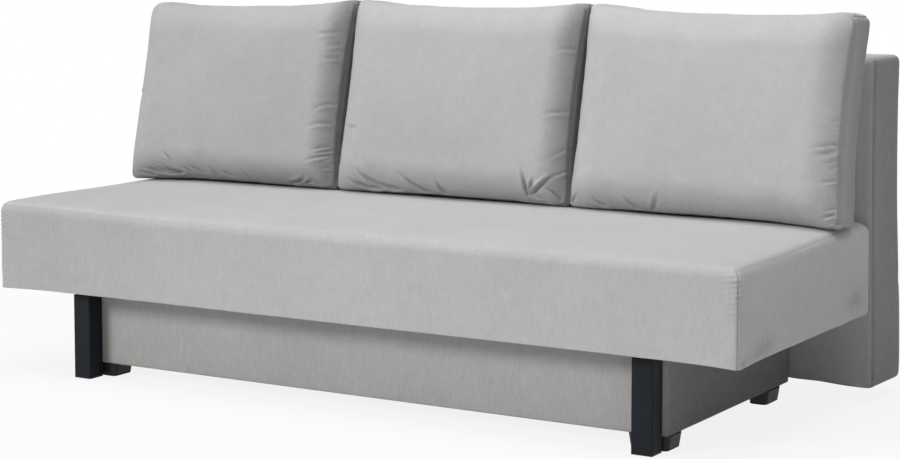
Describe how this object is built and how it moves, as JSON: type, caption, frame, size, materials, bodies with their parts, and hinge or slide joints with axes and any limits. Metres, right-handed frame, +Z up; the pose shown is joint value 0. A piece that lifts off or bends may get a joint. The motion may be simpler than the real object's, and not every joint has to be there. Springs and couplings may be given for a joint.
{
  "type": "click clack sofa bed",
  "caption": "Click clack sofa bed: padded seat over a storage box, back slab that folds flat behind it, loose back cushions, square front legs.",
  "frame": {"origin": "on the floor, in the middle of the sofa's length and depth as it stands as a sofa", "axes": "+X along the seat, towards the right end in the picture; +Y from the seat's front to the back slab; +Z up"},
  "size_m": [2, 0.935, 0.9292],
  "materials": {
    "velour": "matte short pile, light warm grey",
    "foam": "open cell foam",
    "lining": "non-woven lining",
    "chipboard": "raw board",
    "pine": "planed softwood",
    "graphite_steel": "fine matte powder coat, graphite",
    "zinc_steel": "zinc plated",
    "black_plastic": "moulded"
  },
  "bodies": {
    "base": {"box_front_cover": "velour", "box_left_cover": "velour", "box_right_cover": "velour", "box_front_board": "chipboard", "box_left_board": "chipboard", "box_right_board": "chipboard", "box_rear_board": "chipboard", "box_floor": "chipboard", "foot_front_left": "black_plastic", "foot_front_right": "black_plastic", "foot_rear_left": "black_plastic", "foot_rear_right": "black_plastic", "leg_left": "graphite_steel", "leg_right": "graphite_steel", "leg_glide_left": "black_plastic", "leg_glide_right": "black_plastic", "leg_bolt_left_lower": "zinc_steel", "leg_bolt_left_upper": "zinc_steel", "leg_bolt_right_lower": "zinc_steel", "leg_bolt_right_upper": "zinc_steel", "slide_rail_left": "zinc_steel", "slide_rail_right": "zinc_steel", "link_bracket_left": "zinc_steel", "link_bracket_right": "zinc_steel"},
    "links": {"swing_link_left": "zinc_steel", "swing_link_right": "zinc_steel", "link_cross_tube": "zinc_steel"},
    "carriage": {"carriage_rail_left": "zinc_steel", "carriage_rail_right": "zinc_steel", "carriage_bar_front": "zinc_steel", "carriage_bar_rear": "zinc_steel", "seat_ear_left": "zinc_steel", "seat_ear_right": "zinc_steel"},
    "seat": {"seat_cover": "velour", "seat_foam": "foam", "seat_rail_front": "pine", "seat_rail_rear": "pine", "seat_rail_left": "pine", "seat_rail_right": "pine", "seat_slat_left": "pine", "seat_slat_right": "pine", "seat_deck": "chipboard", "seat_lining": "lining", "seat_hinge_left": "zinc_steel", "seat_hinge_right": "zinc_steel"},
    "back": {"back_cover": "velour", "back_foam": "foam", "back_rail_top": "pine", "back_rail_bottom": "pine", "back_stile_left": "pine", "back_stile_right": "pine", "back_bracket_left": "zinc_steel", "back_bracket_right": "zinc_steel", "back_lining": "velour", "support_pivot_left": "zinc_steel", "support_pivot_right": "zinc_steel"},
    "support": {"support_frame": "graphite_steel"},
    "cushion_left": {"cushion_left": "velour"},
    "cushion_middle": {"cushion_middle": "velour"},
    "cushion_right": {"cushion_right": "velour"}
  },
  "joints": [
    {"name": "back_swing", "type": "hinge", "parent": "base", "child": "links", "pos_m": [0, 0.23907, 0.12147], "axis": [1, 0, 0], "range_deg": [0, 112.67]},
    {"name": "seat_slide", "type": "slide", "parent": "base", "child": "carriage", "axis": [0, -1, 0], "range_m": [0, 0.1]},
    {"name": "back_fold", "type": "hinge", "parent": "links", "child": "back", "pos_m": [0, 0.4115, 0.0685], "axis": [1, 0, 0], "range_deg": [-202.67, 0]},
    {"name": "support_swing", "type": "hinge", "parent": "back", "child": "support", "pos_m": [0, 0.4539, 0.6385], "axis": [1, 0, 0], "range_deg": [0, 90]},
    {"name": "seat_lift", "type": "hinge", "parent": "carriage", "child": "seat", "pos_m": [0, 0.2705, 0.395], "axis": [-1, 0, 0], "range_deg": [0, 45]},
    {"name": "cushion_left_rise", "type": "slide", "parent": "back", "child": "cushion_left", "axis": [0, 0, 1], "range_m": [0, 0.245]},
    {"name": "cushion_middle_rise", "type": "slide", "parent": "back", "child": "cushion_middle", "axis": [0, 0, 1], "range_m": [0, 0.245]},
    {"name": "cushion_right_rise", "type": "slide", "parent": "back", "child": "cushion_right", "axis": [0, 0, 1], "range_m": [0, 0.245]}
  ],
  "couplings": [
    {"joint": "seat_slide", "follows": "back_swing", "m_per_rad": 0.050855},
    {"joint": "back_fold", "follows": "back_swing", "ratio": -1.7988},
    {"joint": "support_swing", "follows": "back_swing", "ratio": 0.79882},
    {"joint": "cushion_left_rise", "follows": "seat_lift", "m_per_rad": 0.3111},
    {"joint": "cushion_middle_rise", "follows": "seat_lift", "m_per_rad": 0.3111},
    {"joint": "cushion_right_rise", "follows": "seat_lift", "m_per_rad": 0.3111}
  ]
}
